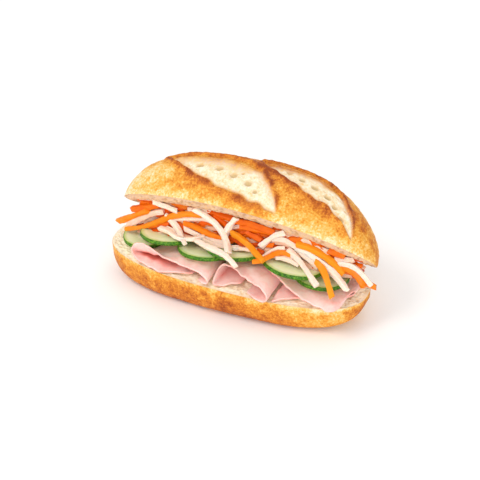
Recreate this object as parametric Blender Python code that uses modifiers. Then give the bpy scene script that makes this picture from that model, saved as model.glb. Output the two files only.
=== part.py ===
"""A banh mi sandwich at its real size: a short baguette split lengthways and propped open,
with folded ham, cucumber slices and a heap of pickled carrot and daikon shreds.

X runs along the roll, the open side faces -Y, and Z is up from the middle of the flat underside.
"""

import math

import bmesh
import bpy
import numpy as np
from mathutils import Matrix, Vector
from mathutils.bvhtree import BVHTree

MM = 0.001
GAP = 0.35 * MM  # kept between neighbours

# Lower half of the roll
BASE_CENTRE_X = -2 * MM
BASE_HALF_LENGTH = 110 * MM
BASE_HALF_WIDTH = 43.5 * MM
BASE_PLAN_POWER = 2.5  # how square its plan is
BASE_HEIGHT = 26 * MM
BASE_FALL = 0.015  # its cut face drops this much for each unit of length
BASE_SIDE_POWER = 2.6
BASE_FLAT_SHARE = 0.70  # of the half width that lies flat underneath
BASE_TIP_LIFT = 7 * MM  # how far the ends curl up from the table
BASE_FLAT_LENGTH_SHARE = 0.3  # of the half length that lies flat
BASE_END_POWERS = (10, 3)  # how bluntly the underside turns up to the rim at the very ends

# Upper half of the roll, tipped open about its back edge
LID_CENTRE = Vector((1.4, 10, 50.5)) * MM
LID_HALF_LENGTH = 109 * MM
LID_HALF_WIDTH = 40 * MM
LID_PLAN_POWER = 2.3
LID_HEIGHT = 50 * MM
LID_LEAN = 0.11  # how much fuller the right half of its dome is than the left
LID_ARCH = 8.5 * MM  # the cut face bows up in the middle
LID_OPENING = math.radians(41.5)
LID_PITCH = math.radians(2.6)  # the left end rides higher
LID_SECTION_POWER = 2.1
LID_LEFT_POWERS = (2.9, 2.2)  # fullness of the left end
LID_RIGHT_POWERS = (2.5, 2.0)

# Two slashes across the crust. Each edge: (distance along the roll in mm, degrees up the dome).
SLASHES = (
    {
        "low": ((-84, 74), (-74, 58), (-52, 34), (-32, 22), (-3, 14), (28, 6)),
        "high": ((-84, 76), (-54, 68), (-18, 63), (-4, 56), (6, 45), (18, 32), (28, 8)),
    },
    {
        "low": ((-3, 66), (14, 51), (26, 46), (42, 42), (56, 38), (70, 33), (90, 14)),
        "high": ((-3, 70), (10, 80), (26, 86), (48, 86), (68, 69), (79, 52), (90, 17)),
    },
)
SLASH_DEPTH = 2.0 * MM
EAR_HEIGHT = 1.6 * MM
EAR_DEGREES = 7.0

# Ham
HAM_THICKNESS = 1.5 * MM
HAM_COLUMNS = 30
HAM_ROWS = 9
HAM_DROOP = 6 * MM  # how soon the cut edge settles into the pile
HAM_LAYER = HAM_THICKNESS + 0.45 * MM

# Each slice's front cut edge, from its hidden inner end round the folds:
# x, y, z, height in the pile (mm), and how many layers of ham lie under it at the back.
HAM_EDGES = {
    "ham_1": (
        (-27, -32.6, 28.2, 28, 0), (-35, -35.6, 28.2, 28, 0), (-43.5, -38.8, 28.2, 28.2, 0),
        (-52.5, -41.2, 28.3, 28.3, 0), (-62, -38.8, 28.4, 28.4, 0), (-72.5, -35.5, 28.6, 28.6, 0),
        (-81.3, -32.3, 30.6, 28.9, 0.2), (-83.6, -30.5, 36.4, 29.6, 0.6), (-78.6, -29.5, 42.4, 30.3, 1),
        (-70, -30.5, 43.4, 30.5, 1), (-61, -32.3, 40.2, 32.2, 1), (-50, -34.6, 37, 35.5, 1),
        (-38, -36.4, 36.2, 36.4, 1), (-26, -38, 35.8, 36.6, 1), (-18, -39.4, 34.6, 36, 1),
        (-11.6, -41.4, 32, 33, 0.9), (-8.9, -42.6, 29.6, 29.6, 0.4), (-12.6, -42.6, 27.9, 28.1, 0),
        (-20.6, -39.6, 28, 27.9, 0),
    ),
    "ham_2": (
        (13.5, -30.5, 28.4, 27.6, 0), (6.5, -34, 28.1, 27.5, 0), (-1, -39.5, 27.6, 27.5, 0),
        (-6.4, -41.8, 28.8, 28, 0), (-6.2, -37.5, 34.4, 31, 0.6), (-4.8, -31.5, 40.2, 36.5, 1),
        (-0.4, -29.4, 42.2, 38.5, 1), (6, -30.5, 41.4, 39, 1), (12, -33, 39.4, 39, 1),
        (17.5, -35.4, 38.2, 39, 1), (23, -37.5, 37.4, 38.6, 1), (30, -40, 36.6, 38, 1),
        (36.8, -42.5, 34.8, 36, 1), (41, -45, 31.8, 31.5, 0.7), (40.6, -46.2, 28.4, 28.2, 0),
        (35.6, -46, 27.1, 27.2, 0), (27.5, -43.4, 27.4, 27.2, 0), (21.5, -39, 28, 27.2, 0),
    ),
    "ham_3": (
        (42.7, -41.8, 26.8, 26.8, 0), (52, -35, 27, 26.8, 0), (62, -29, 27, 26.6, 0),
        (76, -24, 26.8, 26.4, 0), (90, -17, 26.6, 26.3, 0), (98.5, -10, 27, 26.6, 0),
        (101, -5.6, 28.8, 28.5, 0.5), (98.6, -8.6, 30.8, 30.5, 1), (97.2, -17, 31.2, 31, 1),
        (96.2, -26, 30.2, 31, 1), (95.2, -33.4, 28.4, 30.6, 1), (92.4, -37.8, 27.4, 30.4, 1),
        (86, -38.6, 28.6, 31, 1), (77, -38, 30, 31.2, 1), (68, -36.6, 31.6, 31.9, 1),
        (60, -34.6, 33.6, 33, 1.2), (51.5, -31.4, 36.4, 34.7, 1.7), (43.5, -27.6, 38.8, 38.2, 2.1),
        (34.5, -22.6, 40.6, 41, 2.1), (26, -17, 41.4, 42, 2.1),
    ),
}

# Cucumber slices: centre of the upper face (mm), radius (mm), front edge up, right edge down (degrees)
CUCUMBER_THICKNESS = 3.2 * MM
CUCUMBER_SIDES = 32
CUCUMBERS = (
    (-83, -5, 34.6, 18.5, 1, -1),
    (-61.7, -5, 42.6, 23, 12.5, -1.5),
    (-25.6, -8, 39.6, 24.5, 11, -2),
    (-1.8, -6.5, 46.4, 24.5, 8, 1),
    (49, -9, 44.7, 25, 11, 5),
    (71, -4, 37.2, 22.5, 5, 1),
)

# Heap of carrot and daikon shreds
HEAP_HALF_LENGTH = 101 * MM
HEAP_FRONT = 27 * MM
HEAP_BACK = 35 * MM
HEAP_PLAN_POWER = 3.2
HEAP_END_DEPTH = 0.12  # share of the full depth left at its two ends
HEAP_COLUMNS = 38
HEAP_ROWS = 14
HEAP_TOE = 2.6 * MM  # thickness where the shreds lie thinly over the cucumber
HEAP_STEEPNESS = 2.4
HEAP_RISE = 46 * MM
HEAP_EDGE = 0.8 * MM  # least thickness
HEAP_CLEARANCE = 0.6 * MM
HEAP_REACH = 7 * MM
HEAP_CEILING = 200 * MM  # above everything


def smooth(t):
    t = min(1.0, max(0.0, t))
    return t * t * (3 - 2 * t)


def lerp(a, b, t):
    return a + (b - a) * t


def half_width(along, half_length, widest, power):
    """Half the width of a superellipse plan at a distance along it."""
    return widest * max(0.0, 1 - abs(along / half_length) ** power) ** (1 / power)


def signed_power(value, power):
    return math.copysign(abs(value) ** power, value)


def cut_height(x):
    """Height of the base's cut face."""
    return BASE_HEIGHT - BASE_FALL * (x - BASE_CENTRE_X)


def base_rim(x):
    return half_width(x - BASE_CENTRE_X, BASE_HALF_LENGTH, BASE_HALF_WIDTH, BASE_PLAN_POWER)


def unit_section(v):
    """The direction of a sphere point round its long axis, as (across, up)."""
    radius = math.hypot(v.y, v.z)
    if radius < 1e-6:
        return 1.0, 0.0
    return v.y / radius, (v.z if abs(v.z) > 1e-6 else 0.0) / radius


def base_point(v):
    """Moves a point of the unit sphere onto the lower half of the roll."""
    along = v.x * BASE_HALF_LENGTH
    across, up = unit_section(v)
    wide = half_width(along, BASE_HALF_LENGTH, BASE_HALF_WIDTH, BASE_PLAN_POWER)
    top = cut_height(along + BASE_CENTRE_X)
    if up >= 0:
        return Vector((along + BASE_CENTRE_X, across * wide, top))
    past_flat = max(0.0, abs(v.x) - BASE_FLAT_LENGTH_SHARE) / (1 - BASE_FLAT_LENGTH_SHARE)
    end_power, end_root = BASE_END_POWERS
    depth = max(0.0, 1 - abs(v.x) ** end_power) ** (1 / end_root)
    bottom = top - (top - BASE_TIP_LIFT * past_flat**3) * depth
    turn = math.atan2(-up, abs(across)) / (math.pi / 2)
    corner = 0.75  # the share of the turn that rounds the side; the rest is the flat underside
    flat = BASE_FLAT_SHARE * wide
    if turn < corner:
        angle = turn / corner * math.pi / 2
        reach = flat + (wide - flat) * math.cos(angle) ** (2 / BASE_SIDE_POWER)
        height = top - (top - bottom) * math.sin(angle) ** (2 / BASE_SIDE_POWER)
    else:
        reach = flat * (1 - turn) / (1 - corner)
        height = bottom
    return Vector((along + BASE_CENTRE_X, math.copysign(reach, across), height))


def lid_frame():
    """The lid's own axes in the world: along, across towards the back, out of the cut face."""
    opened = Matrix.Rotation(-LID_OPENING, 3, "X")
    pitched = Matrix.Rotation(LID_PITCH, 3, "Y")
    return pitched @ opened


def slash_relief(along, degrees):
    """How far the crust stands out (ears) or lies back (the opened slash) at a place."""
    along_mm = along / MM
    relief = 0.0
    for slash in SLASHES:
        low = np.interp(along_mm, *zip(*slash["low"]))
        high = np.interp(along_mm, *zip(*slash["high"]))
        inside = min(degrees - low, high - degrees)
        if slash["low"][0][0] < along_mm < slash["low"][-1][0] and high > low:
            relief -= SLASH_DEPTH * smooth(inside / EAR_DEGREES)
            relief += EAR_HEIGHT * smooth(1 + inside / EAR_DEGREES) * smooth(1 - inside / EAR_DEGREES)
    return relief


def lid_point(v, frame):
    """Moves a point of the unit sphere onto the upper half of the roll."""
    along = v.x * LID_HALF_LENGTH
    across, up = unit_section(v)
    wide = half_width(along, LID_HALF_LENGTH, LID_HALF_WIDTH, LID_PLAN_POWER)
    arch = LID_ARCH * (1 - v.x * v.x)
    if up <= 0:
        return LID_CENTRE + frame @ Vector((along, across * wide, arch))
    end_power, end_root = LID_LEFT_POWERS if v.x < 0 else LID_RIGHT_POWERS
    high = LID_HEIGHT * max(0.0, 1 - abs(v.x) ** end_power) ** (1 / end_root)
    high *= 1 + LID_LEAN * v.x * (1 - v.x * v.x)
    swell = Vector((0, signed_power(across, 2 / LID_SECTION_POWER), up ** (2 / LID_SECTION_POWER)))
    degrees = math.degrees(math.atan2(up, -across))
    relief = slash_relief(along, degrees) * smooth(up / 0.15)
    skin = Vector((along, swell.y * wide, swell.z * high + arch))
    return LID_CENTRE + frame @ (skin + Vector((0, swell.y, swell.z)).normalized() * relief)


def link(name, mesh, collection, colour, roughness):
    """Puts a mesh in the scene under its name, with a material of its own."""
    mesh.name = name
    piece = bpy.data.objects.new(name, mesh)
    collection.objects.link(piece)
    material = bpy.data.materials.new(name)
    material.use_nodes = True
    shader = material.node_tree.nodes["Principled BSDF"]
    shader.inputs["Base Color"].default_value = (*colour, 1)
    shader.inputs["Roughness"].default_value = roughness
    mesh.materials.append(material)
    return piece


def mesh_of(bm, name):
    bmesh.ops.recalc_face_normals(bm, faces=bm.faces)
    mesh = bpy.data.meshes.new(name)
    bm.to_mesh(mesh)
    bm.free()
    return mesh


def roll_half(name, around, lengthways, place, collection, colour):
    """One half of the roll: a sphere with its poles at the two ends, moved onto the bread's form."""
    bm = bmesh.new()
    bmesh.ops.create_uvsphere(bm, u_segments=around, v_segments=lengthways, radius=1)
    bmesh.ops.rotate(bm, verts=bm.verts, matrix=Matrix.Rotation(math.pi / 2, 3, "Y"))
    for vert in bm.verts:
        vert.co = place(vert.co)
    mesh = mesh_of(bm, name)
    mesh.shade_smooth()
    mesh.set_sharp_from_angle(angle=math.radians(50))
    return link(name, mesh, collection, colour, 0.7)


def spline(points, count):
    """Evenly spaced points on a smooth curve through the given ones."""
    keys = [np.array(p, float) for p in points]
    keys = [2 * keys[0] - keys[1], *keys, 2 * keys[-1] - keys[-2]]
    dense = []
    for before, start, end, after in zip(keys, keys[1:], keys[2:], keys[3:]):
        for t in np.linspace(0, 1, 12, endpoint=False):
            dense.append(
                0.5 * (2 * start + (end - before) * t
                       + (2 * before - 5 * start + 4 * end - after) * t**2
                       + (3 * start - before - 3 * end + after) * t**3)
            )
    dense.append(keys[-2])
    dense = np.array(dense)
    steps = np.linalg.norm(np.diff(dense[:, :3], axis=0), axis=1)
    travel = np.concatenate([[0], np.cumsum(steps)])
    wanted = np.linspace(0, travel[-1], count)
    return np.stack([np.interp(wanted, travel, dense[:, k]) for k in range(dense.shape[1])], axis=1)


def ham_point(edge, back_share):
    """A point of a ham slice: edge is its place on the front cut, back_share runs to the back."""
    x, front, cut_z, pile_z = (edge[k] * MM for k in range(4))
    layers = edge[4]
    back = 0.86 * base_rim(x) - 2 * MM
    y = lerp(front, back, back_share)
    floor = cut_height(x) + GAP + HAM_THICKNESS / 2
    cut_z = max(cut_z, floor)
    pile_z = max(pile_z, floor)
    flat_z = floor + layers * HAM_LAYER
    pile = lerp(pile_z, flat_z, smooth((y + 25 * MM) / (45 * MM)))
    return Vector((x, y, lerp(cut_z, pile, smooth((y - front) / HAM_DROOP))))


def ham_slice(name, edge_points, collection):
    """A thin folded slice that runs from the open side through to the back."""
    edge = spline(edge_points, HAM_COLUMNS + 1)
    bm = bmesh.new()
    bmesh.ops.create_grid(bm, x_segments=HAM_COLUMNS, y_segments=HAM_ROWS, size=1)
    for vert in bm.verts:
        column = round((vert.co.x + 1) / 2 * HAM_COLUMNS)
        # rows crowd towards the front, where the folds change fastest
        vert.co = ham_point(edge[column], ((vert.co.y + 1) / 2) ** 1.6)
    mesh = mesh_of(bm, name)
    mesh.shade_smooth()
    piece = link(name, mesh, collection, (0.86, 0.47, 0.43), 0.45)
    solid = piece.modifiers.new("thickness", "SOLIDIFY")
    solid.thickness = HAM_THICKNESS
    solid.offset = 0
    return piece


def cucumber_slice(name, spec, collection):
    """A round slice whose rim is softened and slightly uneven."""
    x, y, z, radius, front_up, right_down = spec
    normal = Vector((math.sin(math.radians(right_down)), math.sin(math.radians(front_up)), 1))
    normal.normalize()
    bm = bmesh.new()
    bmesh.ops.create_cone(
        bm, cap_ends=True, segments=CUCUMBER_SIDES, radius1=radius * MM,
        radius2=radius * MM, depth=CUCUMBER_THICKNESS,
    )
    for vert in bm.verts:
        turn = math.atan2(vert.co.y, vert.co.x)
        uneven = 1 - 0.012 - 0.012 * math.cos(3 * turn + x) - 0.006 * math.sin(5 * turn + y)
        vert.co.x *= uneven
        vert.co.y *= uneven
    bmesh.ops.translate(bm, verts=bm.verts, vec=(0, 0, -CUCUMBER_THICKNESS / 2))
    mesh = mesh_of(bm, name)
    mesh.shade_smooth()
    mesh.set_sharp_from_angle(angle=math.radians(40))
    piece = link(name, mesh, collection, (0.60, 0.70, 0.32), 0.35)
    piece.location = Vector((x, y, z)) * MM
    piece.rotation_mode = "QUATERNION"
    piece.rotation_quaternion = Vector((0, 0, 1)).rotation_difference(normal)
    rim = piece.modifiers.new("rim", "BEVEL")
    rim.width = 0.5 * MM
    rim.segments = 1
    rim.limit_method = "ANGLE"
    return piece


def surface_of(pieces):
    """One tree of the finished surfaces of several pieces, for finding what lies under or over a place."""
    bpy.context.view_layer.update()
    graph = bpy.context.evaluated_depsgraph_get()
    points, faces = [], []
    for piece in pieces:
        evaluated = piece.evaluated_get(graph)
        mesh = evaluated.to_mesh()
        start = len(points)
        points += [piece.matrix_world @ vert.co for vert in mesh.vertices]
        faces += [[start + k for k in face.vertices] for face in mesh.polygons]
        evaluated.to_mesh_clear()
    return BVHTree.FromPolygons(points, faces)


def heap_surfaces(under, over):
    """Functions for the heap's lower and upper height at a place, clear of what it touches."""
    # each looks round the place as far as the next points of the heap, so that no step pokes through
    ring = [Vector((0, 0, 0))]
    for share in (0.35, 0.7, 1):
        for turn in range(12):
            angle = turn * math.pi / 6
            ring.append(Vector((math.cos(angle), math.sin(angle), 0)) * HEAP_REACH * share)

    def lower(x, y):
        above = Vector((x, y, HEAP_CEILING))
        hits = [under.ray_cast(above + offset, Vector((0, 0, -1)))[0] for offset in ring]
        return max([cut_height(x)] + [hit.z for hit in hits if hit]) + HEAP_CLEARANCE

    def upper(x, y):
        below = Vector((x, y, 0))
        hits = [over.ray_cast(below + offset, Vector((0, 0, 1)))[0] for offset in ring]
        return min([HEAP_CEILING] + [hit.z for hit in hits if hit]) - HEAP_CLEARANCE

    return lower, upper


def heap_depth(x):
    """How much of its full depth the heap has at a distance along it."""
    return max(HEAP_END_DEPTH, half_width(x, HEAP_HALF_LENGTH * 1.02, 1, HEAP_PLAN_POWER))


def pickle_heap(under, over, collection):
    """The heap of shreds: a thin toe over the cucumber that climbs steeply to the lid."""
    lower, upper = heap_surfaces(under, over)
    bm = bmesh.new()
    bmesh.ops.create_grid(bm, x_segments=HEAP_COLUMNS, y_segments=HEAP_ROWS, size=1)
    for vert in bm.verts:
        x = vert.co.x * HEAP_HALF_LENGTH
        y = vert.co.y * heap_depth(x) * (HEAP_FRONT if vert.co.y < 0 else HEAP_BACK)
        vert.co = (x, y, lower(x, y))
    lifted = bmesh.ops.extrude_face_region(bm, geom=list(bm.faces))
    for vert in (item for item in lifted["geom"] if isinstance(item, bmesh.types.BMVert)):
        x, y, low = vert.co
        climb = max(0.0, 1 + y / (heap_depth(x) * HEAP_FRONT))
        uneven = 1 + 0.25 * math.sin(x / (7 * MM)) * math.cos(y / (5 * MM))
        front = low + HEAP_TOE * uneven + HEAP_RISE * climb**HEAP_STEEPNESS
        vert.co.z = max(low + HEAP_EDGE, min(front, upper(x, y)))
    mesh = mesh_of(bm, "pickle_heap")
    mesh.shade_smooth()
    return link("pickle_heap", mesh, collection, (0.93, 0.52, 0.28), 0.4)


def main():
    for old in list(bpy.data.objects):
        bpy.data.objects.remove(old, do_unlink=True)
    parts = bpy.data.collections.new("banh_mi")
    bpy.context.scene.collection.children.link(parts)

    base = roll_half("bread_base", 36, 28, base_point, parts, (0.82, 0.52, 0.20))
    frame = lid_frame()
    lid = roll_half("bread_lid", 44, 34, lambda v: lid_point(v, frame), parts, (0.80, 0.45, 0.16))
    hams = [ham_slice(name, edge, parts) for name, edge in HAM_EDGES.items()]
    cucumbers = [
        cucumber_slice(f"cucumber_{number}", spec, parts)
        for number, spec in enumerate(CUCUMBERS, start=1)
    ]
    pickle_heap(surface_of([base, *hams, *cucumbers]), surface_of([lid]), parts)


main()
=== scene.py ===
"""The finished looks of a banh mi sandwich: crusty roll, folded ham, cucumber and pickled shreds."""

import math

import bmesh
import bpy
import numpy as np
from mathutils import Matrix, Vector
from mathutils.bvhtree import BVHTree
from mathutils.kdtree import KDTree


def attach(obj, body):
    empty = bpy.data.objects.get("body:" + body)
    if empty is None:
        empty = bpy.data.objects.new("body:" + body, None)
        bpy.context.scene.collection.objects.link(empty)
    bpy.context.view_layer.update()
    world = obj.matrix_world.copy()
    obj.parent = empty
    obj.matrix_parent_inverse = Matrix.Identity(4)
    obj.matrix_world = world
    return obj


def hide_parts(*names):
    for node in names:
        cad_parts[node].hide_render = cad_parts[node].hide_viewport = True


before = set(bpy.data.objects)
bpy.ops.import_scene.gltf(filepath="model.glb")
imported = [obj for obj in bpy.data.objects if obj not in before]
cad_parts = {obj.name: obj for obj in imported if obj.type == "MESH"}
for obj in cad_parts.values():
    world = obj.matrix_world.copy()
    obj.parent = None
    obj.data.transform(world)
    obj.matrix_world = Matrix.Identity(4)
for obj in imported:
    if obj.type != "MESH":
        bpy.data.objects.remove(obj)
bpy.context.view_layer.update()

bl_info = {
    "name": "Banh mi sandwich",
    "version": (1, 0, 0),
    "blender": (4, 5, 0),
    "location": "View3D > Sidebar > Sandwich",
    "description": "Builds a split, filled baguette piece by piece",
    "category": "Add Mesh",
}

MM = 0.001
TAU = 2 * math.pi

# ---------------------------------------------------------------- the roll's form, in mm

BASE_CENTRE_X = -2
BASE_HALF_LENGTH = 110
BASE_HALF_WIDTH = 43.5
BASE_PLAN_POWER = 2.5
BASE_HEIGHT = 26
BASE_FALL = 0.015  # the cut face drops this much for each unit of length
BASE_SIDE_POWER = 2.6
BASE_FLAT_SHARE = 0.70  # of the half width that lies flat underneath
BASE_TIP_LIFT = 7
BASE_FLAT_LENGTH_SHARE = 0.3
BASE_END_POWERS = (10, 3)

LID_CENTRE = (1.4, 10, 50.5)
LID_HALF_LENGTH = 109
LID_HALF_WIDTH = 40
LID_PLAN_POWER = 2.3
LID_HEIGHT = 50
LID_LEAN = 0.11  # how much fuller the right half of the dome is than the left
LID_ARCH = 8.5
LID_OPENING = math.radians(41.5)
LID_PITCH = math.radians(2.6)
LID_SECTION_POWER = 2.1
LID_LEFT_POWERS = (2.9, 2.2)
LID_RIGHT_POWERS = (2.5, 2.0)
MM_PER_DEGREE = 0.78  # of crust over the dome

# Two slashes. Edges and pores are given by mm along the roll and degrees up the dome, each pore with its
# half length in mm; each burn is how dark the crust beside that edge is baked, by mm along the roll. Where
# toasted starts and how wide it fades, in mm from the high edge, is last.
SLASHES = (
    {
        "low": ((-84, 73), (-76, 60), (-56, 36), (-40, 25), (-24, 18), (-8, 13.5), (10, 9), (31, 4.5)),
        "high": ((-84, 75), (-54, 70), (-22, 66), (-7, 60), (2, 53), (12, 40), (22, 27), (31, 8)),
        "low_burn": ((-84, 1.0), (-44, 1.0), (-30, 0.55), (-14, 0.35), (31, 0.2)),
        "high_burn": ((-84, 0.6), (-30, 0.6), (0, 0.9), (31, 1.0)),
        "toasted": (4, 17),
        "pores": ((-45, 41, 3.2), (-28, 40, 3.3), (-14, 34, 3.2), (0, 28, 3.2), (8, 21, 2.0), (-7, 38, 1.4)),
    },
    {
        "low": ((-3, 66), (8, 56), (22, 48), (34, 43), (46, 37), (60, 35), (70, 31), (79, 26), (91, 12)),
        "high": ((-3, 70), (14, 82), (26, 84), (51, 85), (65, 73), (76, 59), (85, 43), (91, 16)),
        "low_burn": ((-3, 1.0), (20, 1.0), (50, 0.7), (91, 0.4)),
        "high_burn": ((-3, 0.6), (30, 0.8), (60, 1.0), (91, 0.9)),
        "toasted": (11, 8),
        "pores": ((26, 59, 3.0), (38, 54, 2.9), (50, 51, 3.4), (62, 47, 3.0), (70, 41, 2.6), (78, 32, 2.3)),
    },
)
LIP_HEIGHT = 1.5  # how far the crust stands up along a slash
GROOVE_DEPTH = 1.5  # how far the opened crumb lies back just inside it
PORE_DEPTH = 1.9
CRUMB_BULGE = 2.8  # how far the lid's crumb swells out behind its front edge

# Where the oven browned the upper crust more or less: mm along, degrees up, size in mm, how much
BAKED_PATCHES = (
    (-98, 30, 22, -0.30), (-76, 40, 11, -0.10), (-70, 52, 6, -0.10), (-60, 20, 16, -0.06),
    (-66, 58, 12, 0.14), (-46, 26, 12, 0.12), (-3, 11.5, 5, 0.30), (6, 8, 5, 0.18), (18, 5.5, 6, 0.16),
    (10, 56, 12, 0.16), (26, 40, 12, 0.08), (36, 28, 12, 0.05), (52, 30, 9, 0.20), (66, 27, 7, 0.20),
    (78, 18, 5, 0.16), (48, 10, 22, -0.07), (84, 8, 20, -0.10), (92, 50, 16, 0.12), (100, 28, 12, -0.10),
)

# The heap's front, seen from the open side: tops of the cucumber under it, by mm along the roll
HEAP_FLOOR = ((-108, 31), (-85, 37), (-60, 46), (-25, 45), (0, 48.5), (45, 48), (70, 43), (95, 36), (108, 31))

# Shreds that lie on top. Each: width and lift in mm, then the points it passes, as mm along the roll and
# how far up the heap's front it is, from 0 at the cucumber's front edge to 1 under the lid.
CARROT_SHREDS = (
    (4.6, 0.0, (-96, 0.79), (-84, 0.83), (-71, 0.90)),
    (4.2, 1.5, (-109, 0.55), (-97, 0.64), (-80, 0.79)),
    (3.8, 2.2, (-100, 0.33), (-86, 0.43), (-72, 0.54), (-60, 0.69), (-50, 0.79), (-40, 0.88), (-32, 0.86)),
    (3.8, 0.0, (-78, 0.46), (-69, 0.50), (-60, 0.49)),
    (4.0, 1.8, (-47, 0.61), (-36, 0.58), (-24, 0.51), (-12, 0.44)),
    (4.2, -0.5, (-33, 0.68), (-24, 0.74), (-16, 0.68)),
    (4.6, -0.5, (-28, 0.97), (-14, 0.93), (-1, 0.91)),
    (4.6, -0.5, (-22, 0.92), (-15, 0.81), (-9, 0.70)),
    (4.8, 0.5, (-3, 0.88), (8, 0.93), (19, 0.89), (31, 0.87)),
    (4.4, 0.0, (1, 0.77), (14, 0.80), (27, 0.82)),
    (4.4, 3.0, (-5, 0.62), (5, 0.52), (13, 0.35), (22, 0.17), (31, 0.05)),
    (4.4, 0.0, (6, 0.68), (13, 0.61), (20, 0.56)),
    (4.2, 2.0, (23, 0.0), (29, 0.07), (32, 0.20), (35, 0.36), (40, 0.43), (48, 0.38)),
    (4.4, 0.0, (21, 0.55), (26, 0.51), (31, 0.53)),
    (5.0, 0.0, (44, 0.82), (50, 0.90), (56, 1.0)),
    (4.4, 3.0, (50, 0.78), (60, 0.84), (68, 0.80), (76, 0.74), (83, 0.67), (90, 0.49)),
    (5.0, 3.5, (67, 0.54), (73, 0.36), (79, 0.15), (83, 0.0), (89, -0.38)),
    (4.4, 0.0, (58, 1.0), (66, 0.95), (72, 0.87)),
    (5.4, 0.5, (75, 0.90), (82, 0.93), (89, 0.95)),
    (4.4, 2.0, (86, 0.63), (95, 0.67), (101, 0.58), (107, 0.28)),
    (4.2, 1.0, (101, 0.62), (108, 0.52), (115, 0.43)),
)
DAIKON_SHREDS = (
    (4.2, 1.5, (-75, 0.98), (-63, 0.90), (-53, 0.83)),
    (5.0, 0.0, (-99, 0.50), (-88, 0.62), (-76, 0.74), (-66, 0.78)),
    (4.2, 0.5, (-60, 0.62), (-48, 0.69), (-36, 0.76), (-26, 0.81), (-19, 0.75)),
    (4.2, 1.5, (-64, 0.71), (-56, 0.56), (-49, 0.38), (-43, 0.22), (-38, 0.12)),
    (4.2, 3.6, (-38, 0.98), (-27, 0.90), (-18, 0.77), (-13, 0.66), (-10, 0.52), (-4, 0.25), (2, 0.03)),
    (4.2, 2.5, (-1, 1.0), (-5, 0.84), (-9, 0.64), (-11, 0.50), (-8, 0.36)),
    (4.4, 3.0, (-31, 0.24), (-21, 0.155), (-9, 0.06), (2, -0.04), (12, -0.24)),
    (4.2, 0.5, (-46, 0.50), (-32, 0.42), (-20, 0.36), (-7, 0.34)),
    (3.8, 2.2, (-67, 0.38), (-56, 0.29), (-47, 0.18), (-38, 0.22), (-31, 0.33), (-27, 0.43)),
    (3.6, 0.5, (-62, 0.42), (-52, 0.33), (-44, 0.27)),
    (3.8, 0.5, (-30, 0.38), (-16, 0.28), (-4, 0.24), (6, 0.29)),
    (3.8, 0.5, (1, 0.25), (10, 0.30), (19, 0.33)),
    (4.2, 2.0, (21, 0.40), (24, 0.56), (28, 0.70), (33, 0.85), (40, 0.98)),
    (4.0, 1.5, (27, 0.13), (30, 0.30), (34, 0.45), (41, 0.54)),
    (4.6, 1.5, (29, 0.70), (40, 0.80), (48, 0.71), (56, 0.56), (63, 0.46), (70, 0.37)),
    (4.4, 2.2, (43, 0.53), (50, 0.42), (55, 0.33), (61, 0.22), (69, 0.04), (76, -0.14)),
    (4.6, 2.6, (50, 0.66), (60, 0.66), (68, 0.58), (76, 0.48), (82, 0.39), (89, 0.22), (97, -0.04)),
    (4.2, 0.5, (54, 0.99), (62, 0.92), (69, 0.87), (77, 0.88)),
    (4.2, 0.5, (81, 0.75), (88, 0.83), (96, 0.96)),
    (4.4, 1.5, (84, 0.71), (93, 0.80), (102, 0.74), (108, 0.60), (111, 0.46)),
    (3.8, 0.5, (36, 0.26), (45, 0.30), (55, 0.26)),
    (4.2, 0.5, (61, 0.73), (72, 0.66), (80, 0.57), (87, 0.46)),
    (4.2, 0.0, (-44, 0.92), (-33, 0.95), (-24, 0.99)),
    (4.2, 0.0, (28, 0.62), (38, 0.66), (47, 0.60)),
)


SHRED_STEPS = 26  # lengths that each shred is bent in

# The ham: how far in mm a point looks for the slice's other side, and for another layer that faces it and so
# gets painted shade
HAM_THROUGH = 2.1
HAM_FACING = 10

# Soft lights: place in metres, size, watts, colour. All face LIT_POINT.
LIT_POINT = (0, 0, 0.04)
SOFT_LIGHTS = {
    "key": ((-0.55, -0.55, 1.1), 0.6, 4.6, "#fffaf4"),
    "fill": ((1.5, -3.6, 0.67), 2.7, 72.0, "#ffffff"),
    "rim": ((0.1, 1.0, 0.8), 0.7, 1.2, "#ffffff"),
}
ROOM_LIGHT = 0.84
FLOOR_HALF_SIZE = 15  # metres, so that only a very low view reaches its edge
LENS = 103.1
AIM_UP, AIM_LEFT = 0.00644, 0.0008  # metres that the camera aims above and left of LIT_POINT


# ---------------------------------------------------------------- small helpers


def smooth(t):
    t = np.clip(t, 0, 1)
    return t * t * (3 - 2 * t)


def signed_power(value, power):
    return np.sign(value) * np.abs(value) ** power


def half_width(along, half_length, widest, power):
    return widest * np.maximum(0, 1 - np.abs(along / half_length) ** power) ** (1 / power)


def linear(code):
    """An sRGB hex colour as linear RGBA."""
    parts = [int(code[k:k + 2], 16) / 255 for k in (1, 3, 5)]
    return tuple(c / 12.92 if c <= 0.04045 else ((c + 0.055) / 1.055) ** 2.4 for c in parts) + (1.0,)


def spline(points, count):
    """Evenly spaced points on a smooth curve through the given ones."""
    keys = [np.array(p, float) for p in points]
    keys = [2 * keys[0] - keys[1], *keys, 2 * keys[-1] - keys[-2]]
    dense = []
    for before, start, end, after in zip(keys, keys[1:], keys[2:], keys[3:]):
        t = np.linspace(0, 1, 12, endpoint=False)[:, None]
        dense.append(
            0.5 * (2 * start + (end - before) * t
                   + (2 * before - 5 * start + 4 * end - after) * t**2
                   + (3 * start - before - 3 * end + after) * t**3)
        )
    dense = np.vstack([*dense, keys[-2]])
    travel = np.concatenate([[0], np.cumsum(np.linalg.norm(np.diff(dense, axis=0), axis=1))])
    wanted = np.linspace(0, travel[-1], count)
    return np.stack([np.interp(wanted, travel, dense[:, k]) for k in range(dense.shape[1])], axis=1)


def edge_at(knots, along):
    """Degrees up the dome of a slash's edge, smoothly through its knots."""
    curve = spline(knots, 200)
    return np.interp(along, curve[:, 0], curve[:, 1])


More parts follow.
